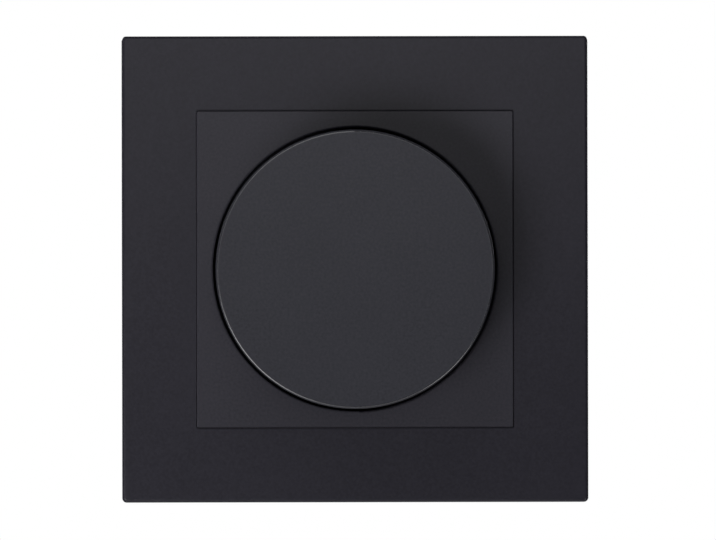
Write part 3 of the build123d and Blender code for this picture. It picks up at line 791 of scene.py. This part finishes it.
class DIMMER_OT_mechanism(bpy.types.Operator):
    """Dress the shaft, the rotary control and the push switch"""

    bl_idname = "dimmer.mechanism"
    bl_label = "Turning and pushing"

    def execute(self, context):
        brass = turned_metal("brass", BRASS, roughness=0.3)
        plated = turned_metal("plated_steel", PLATED_STEEL, roughness=0.28)
        spring = turned_metal("spring_steel", SPRING_STEEL, roughness=0.32)
        white = moulded_plastic(
            "white_plastic", WHITE_PLASTIC,
            roughness=0.42, grain=0.6 * MM, depth=0.004 * MM, contrast=0.03,
        )
        dark = moulded_plastic(
            "dark_plastic", DARK_PLASTIC, roughness=0.45, grain=0.4 * MM, depth=0.01 * MM
        )
        for material, nodes in (
            (brass, ("fixing_nut", "threaded_bush", "wiper_contacts", "contact_bridge",
                     "switch_contacts", "terminal_cages")),
            (plated, ("lock_washer", "shaft", "pot_housing", "pot_pins")),
            (spring, ("hub_ring", "shaft_circlip")),
            (white, ("wiper_rotor", "switch_plunger", "trimmer_stem")),
            (dark, ("resistor_track", "pot_base", "push_switch_housing", "trimmer_body")),
        ):
            for node in nodes:
                dress(node, material)
        return {"FINISHED"}


class DIMMER_OT_return_dome(bpy.types.Operator):
    """Make the rubber return dome from its CAD node with doubled points merged"""

    bl_idname = "dimmer.return_dome"
    bl_label = "Return dome"

    def execute(self, context):
        rubber = moulded_plastic(
            "dome_rubber", DOME_RUBBER,
            roughness=0.6, grain=0.8 * MM, depth=0.004 * MM, contrast=0.04, gloss=0.35,
        )
        shape = bmesh.new()
        shape.from_mesh(frame["nodes"]["return_dome"].data)
        bmesh.ops.remove_doubles(shape, verts=shape.verts, dist=0.001 * MM)
        dome = add_piece(
            "return_dome_soft", to_mesh(shape), rubber, "dimmer", ["return_dome"]
        )
        low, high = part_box("return_dome")
        push = next(joint for joint in frame["joints"] if joint["name"] == "push")
        keep = 1 - push["range_m"][1] / (high.y - low.y)
        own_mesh(dome)
        return {"FINISHED"}


class DIMMER_OT_electronics(bpy.types.Operator):
    """Dress the board and its components"""

    bl_idname = "dimmer.electronics"
    bl_label = "Electronics"

    def execute(self, context):
        dark = bpy.data.materials["dark_plastic"]
        for node in ("power_transistors", "controller_chip", "bridge_rectifier"):
            dress(node, dark)
        dress("circuit_board", board_lacquer("board_green", BOARD_GREEN))
        dress("choke_core", fired_ferrite("ferrite", FERRITE))
        dress("film_capacitor", dipped_coat("film_yellow", FILM_YELLOW))
        dress("electrolytic_capacitor", dipped_coat("capacitor_sleeve", SLEEVE_BLUE))
        dress("varistor", dipped_coat("varistor_blue", VARISTOR_BLUE))
        return {"FINISHED"}


class DIMMER_OT_housing_screws(bpy.types.Operator):
    """Make the four screws that hold the housing, with crosses and threads"""

    bl_idname = "dimmer.housing_screws"
    bl_label = "Housing screws"

    def execute(self, context):
        sizes = context.scene.dimmer_hardware
        plated = bpy.data.materials["plated_steel"]
        low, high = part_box("housing_screws")
        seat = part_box("support_plate")[0].y
        head_radius = 2.3 * MM
        shank_radius = 1.2 * MM
        spacing = high.x - low.x - 2 * head_radius
        dome = (seat - low.y) * 0.45
        head = lathe([
            (0, low.y),
            (head_radius * 0.62, low.y + 0.04 * MM),
            (head_radius * 0.86, low.y + dome * 0.35),
            (head_radius, low.y + dome),
            (head_radius, seat),
            (0, seat),
        ], HEAD_SEGMENTS)
        width, depth, reach = sizes.recess_width, 2 * sizes.recess_depth, head_radius * 1.2
        for size in ((width, depth, reach), (reach, depth, width)):
            head = cut(head, bar(size, (0, low.y, 0)))
        shank = grown(thread_tree(), {
            "Core Radius": shank_radius - sizes.thread_depth, "Depth": sizes.thread_depth,
            "Pitch": sizes.screw_pitch, "Length": high.y - seat, "Tip": 1.5 * MM,
            "Around": 24, "Along": 180,
        })
        one = join([head, moved(shank, (0, seat, 0))])
        screws = grown(rows_tree(), {
            "Columns": 2, "Rows": 2, "Column Spacing": spacing, "Row Spacing": spacing,
            "Material": plated,
        }, one)
        add_piece("housing_screw_set", screws, plated, "dimmer", ["housing_screws"])
        return {"FINISHED"}


class DIMMER_OT_clamp_screws(bpy.types.Operator):
    """Make the clamp screw of each terminal, with a slot, a cross and a thread"""

    bl_idname = "dimmer.clamp_screws"
    bl_label = "Clamp screws"

    def execute(self, context):
        sizes = context.scene.dimmer_hardware
        plated = bpy.data.materials["plated_steel"]
        low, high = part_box("terminal_screws")
        middle = (low + high) / 2
        head_radius = (high.z - low.z) / 2
        head_front = high.y - 1.8 * MM
        bevel = 0.25 * MM
        slot_width, slot_depth, cross_depth = 0.8 * MM, 0.9 * MM, 0.75 * MM
        spacing = (high.x - low.x) / 2 - head_radius
        head = lathe([
            (0, head_front),
            (head_radius - bevel, head_front),
            (head_radius, head_front + bevel),
            (head_radius, high.y - bevel),
            (head_radius - bevel, high.y),
            (0, high.y),
        ], HEAD_SEGMENTS)
        slot = bar((head_radius * 3, 2 * slot_depth, slot_width), (0, high.y, 0))
        cross = bar((slot_width, 2 * cross_depth, head_radius * 1.3), (0, high.y, 0))
        head = cut(cut(head, slot), cross)
        shank = grown(thread_tree(), {
            "Core Radius": 1.25 * MM, "Depth": 0.25 * MM, "Pitch": sizes.clamp_pitch,
            "Length": head_front - low.y, "Tip": 0.5 * MM, "Around": 24, "Along": 60,
        })
        one = join([head, moved(shank, (0, head_front, 0), (math.pi, 0, 0))])
        screws = grown(rows_tree(), {
            "Columns": 3, "Rows": 1, "Column Spacing": spacing, "Row Spacing": 0.0,
            "Material": plated,
        }, one)
        moved(screws, (middle.x, 0, middle.z))
        add_piece("clamp_screw_set", screws, plated, "dimmer", ["terminal_screws"])
        return {"FINISHED"}


class DIMMER_OT_choke_winding(bpy.types.Operator):
    """Wind the choke with round wire in layers"""

    bl_idname = "dimmer.choke_winding"
    bl_label = "Choke winding"

    def execute(self, context):
        sizes = context.scene.dimmer_hardware
        copper = enamelled_wire("copper", COPPER)
        low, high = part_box("choke_winding")
        middle = (low + high) / 2
        wire = sizes.wire_diameter
        nesting = 0.9
        height = high.y - low.y - wire
        tree = winding_tree()
        layers = []
        for layer in range(sizes.winding_layers):
            radius = (high.x - low.x) / 2 - wire * (0.5 + nesting * layer)
            layers.append(grown(tree, {
                "Radius": radius, "Wire": wire, "Turns": height / wire, "Height": height,
                "Around": 32, "Material": copper,
            }))
        coil = join(layers)
        ends = [vertex.co.y for vertex in coil.vertices]
        moved(coil, (middle.x, middle.y - (min(ends) + max(ends)) / 2, middle.z))
        add_piece("choke_turns", coil, copper, "dimmer", ["choke_winding"])
        return {"FINISHED"}


# Stage

IMAGE_WIDTH = 716
IMAGE_SHIFT = (3.02, -0.83)
FLOOR_WHITE = (0.9, 0.9, 0.9)
BLACK = (0.0, 0.0, 0.0)
ROOM_LEVEL = 0.01
BACKDROP_EDGE = 0.6
BACKDROP_FADE = 0.125

# The keys and the soft lamp above give light and shadow without glare. The rims, a little nearer
# than the keys, are what the gloss mirrors in their place.
LIGHTS = (
    # name, angle round the view axis, angle off it, distance, width, strength, mirrored
    ("key_left", 212.0, 35.0, 0.7, 0.34, 1.4, False),
    ("key_below", 238.0, 36.0, 0.7, 0.34, 1.15, False),
    ("rim_left", 216.0, 35.0, 0.65, 0.316, 0.47, True),
    ("rim_below", 234.0, 36.0, 0.65, 0.316, 0.25, True),
    ("soft_above", 112.0, 72.0, 0.7, 0.9, 2.9, False),
    ("near_lens", 95.0, 16.0, 0.7, 0.38, 0.29, True),
    ("side_right", 313.0, 46.0, 0.7, 0.22, 0.27, True),
    ("back_left", 150.0, 135.0, 0.9, 0.5, 4.4, True),
    ("back_right", 20.0, 135.0, 0.9, 0.5, 3.6, True),
)


class DIMMER_OT_stage(bpy.types.Operator):
    """Set the floor, the lights, the white surround and the camera"""

    bl_idname = "dimmer.stage"
    bl_label = "Stage"

    def execute(self, context):
        settings = context.scene.dimmer_stage
        focus = Vector((0.0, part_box("center_plate")[0].y, 0.0))
        self.floor(settings)
        self.surround(context.scene)
        for light in LIGHTS:
            self.lamp(focus, *light)
        self.camera(context.scene, settings, focus)
        context.scene.view_settings.view_transform = "Standard"
        return {"FINISHED"}

    def floor(self, settings):
        """A plain pale disc far below, out of the front camera's view and clear from underneath."""
        shape = bmesh.new()
        bmesh.ops.create_circle(shape, cap_ends=True, segments=96, radius=settings.floor_radius)
        bmesh.ops.translate(shape, vec=(0, 0, -settings.floor_drop), verts=shape.verts)
        floor = bpy.data.objects.new("floor", to_mesh(shape))
        bpy.context.scene.collection.objects.link(floor)
        material, tree = new_material("floor_white")
        seen = tree.add("ShaderNodeLightPath")["Is Camera Ray"]
        shader = tree.add("ShaderNodeBsdfPrincipled", None, {
            "Base Color": rgba(FLOOR_WHITE), "Roughness": 0.8, "Emission Strength": 1.0,
            "Emission Color": tree.mix(seen, BLACK, FLOOR_WHITE),
        })["BSDF"]
        below = tree.add("ShaderNodeNewGeometry")["Backfacing"]
        clear = tree.add("ShaderNodeBsdfTransparent")["BSDF"]
        mixed = tree.add("ShaderNodeMixShader", None, {0: below, 1: shader, 2: clear})["Shader"]
        tree.add("ShaderNodeOutputMaterial", None, {"Surface": mixed})
        floor.data.materials.append(material)

    def surround(self, scene):
        """White for the camera, and for gloss and glass behind the object; else a dim room."""
        world = bpy.data.worlds.new("surround")
        scene.world = world
        world.use_nodes = True
        world.node_tree.nodes.clear()
        tree = Tree(world.node_tree)
        path = tree.add("ShaderNodeLightPath")
        ahead = tree.add("ShaderNodeTexCoord")["Generated"]
        way = tree.add("ShaderNodeSeparateXYZ", None, {"Vector": ahead})
        behind = fade(way["Y"] - BACKDROP_EDGE, BACKDROP_FADE)
        mirrored = path["Is Glossy Ray"].most(path["Is Transmission Ray"])
        level = (behind * mirrored).most(path["Is Camera Ray"]).most(ROOM_LEVEL)
        inputs = {"Color": (1, 1, 1, 1), "Strength": level}
        light = tree.add("ShaderNodeBackground", None, inputs)["Background"]
        tree.add("ShaderNodeOutputWorld", None, {"Surface": light})

    def lamp(self, focus, name, turn, tilt, distance, width, strength, mirrored):
        """A soft round lamp aimed at the plate; one that isn't mirrored gives no glare."""
        turn, tilt = math.radians(turn), math.radians(tilt)
        way = Vector((
            math.sin(tilt) * math.cos(turn), -math.cos(tilt), math.sin(tilt) * math.sin(turn),
        ))
        data = bpy.data.lights.new(name, "AREA")
        data.shape = "DISK"
        data.size = width
        data.energy = strength
        lamp = bpy.data.objects.new(name, data)
        lamp.visible_camera = False
        lamp.visible_glossy = mirrored
        lamp.location = focus + way * distance
        lamp.rotation_euler = (-way).to_track_quat("-Z", "Y").to_euler()
        bpy.context.scene.collection.objects.link(lamp)

    def camera(self, scene, settings, focus):
        """A long lens in front of the plate, shifted to the photograph's framing."""
        data = bpy.data.cameras.new("camera")
        data.sensor_width = 36.0
        data.lens = data.sensor_width * settings.distance / settings.view_width
        way = Vector((
            math.sin(settings.swing) * math.cos(settings.rise),
            -math.cos(settings.swing) * math.cos(settings.rise),
            math.sin(settings.rise),
        ))
        camera = bpy.data.objects.new("camera", data)
        camera.location = focus + way * settings.distance
        aim = (-way).to_track_quat("-Z", "Y").to_matrix().to_4x4()
        camera.rotation_euler = (aim @ Matrix.Rotation(settings.roll, 4, "Z")).to_euler()
        data.shift_x, data.shift_y = (pixels / IMAGE_WIDTH for pixels in IMAGE_SHIFT)
        bpy.context.scene.collection.objects.link(camera)
        scene.camera = camera


class DIMMER_PT_panel(bpy.types.Panel):
    """Lists the steps that dress the dimmer"""

    bl_idname = "DIMMER_PT_panel"
    bl_label = "Dimmer"
    bl_space_type = "VIEW_3D"
    bl_region_type = "UI"
    bl_category = "Dimmer"

    def draw(self, context):
        for step in STEPS:
            self.layout.operator(step.bl_idname)
        for group in ("dimmer_finish", "dimmer_hardware", "dimmer_stage"):
            settings = getattr(context.scene, group)
            box = self.layout.box()
            for name in settings.bl_rna.properties.keys():
                if name not in ("rna_type", "name"):
                    box.prop(settings, name)


STEPS = (
    DIMMER_OT_front,
    DIMMER_OT_insert,
    DIMMER_OT_mechanism,
    DIMMER_OT_return_dome,
    DIMMER_OT_electronics,
    DIMMER_OT_housing_screws,
    DIMMER_OT_clamp_screws,
    DIMMER_OT_choke_winding,
    DIMMER_OT_stage,
)
CLASSES = (FinishSettings, HardwareSettings, StageSettings, *STEPS, DIMMER_PT_panel)


def register():
    """Registers the classes and their settings on the scene."""
    for item in CLASSES:
        bpy.utils.register_class(item)
    bpy.types.Scene.dimmer_finish = PointerProperty(type=FinishSettings)
    bpy.types.Scene.dimmer_hardware = PointerProperty(type=HardwareSettings)
    bpy.types.Scene.dimmer_stage = PointerProperty(type=StageSettings)


def unregister():
    """Takes the settings and the classes away again."""
    del bpy.types.Scene.dimmer_stage
    del bpy.types.Scene.dimmer_hardware
    del bpy.types.Scene.dimmer_finish
    for item in reversed(CLASSES):
        bpy.utils.unregister_class(item)


def main():
    """Dresses the dimmer step by step."""
    register()
    bpy.ops.dimmer.front()
    bpy.ops.dimmer.insert()
    bpy.ops.dimmer.mechanism()
    bpy.ops.dimmer.return_dome()
    bpy.ops.dimmer.electronics()
    bpy.ops.dimmer.housing_screws()
    bpy.ops.dimmer.clamp_screws()
    bpy.ops.dimmer.choke_winding()
    bpy.ops.dimmer.stage()


if __name__ == "__main__":
    main()
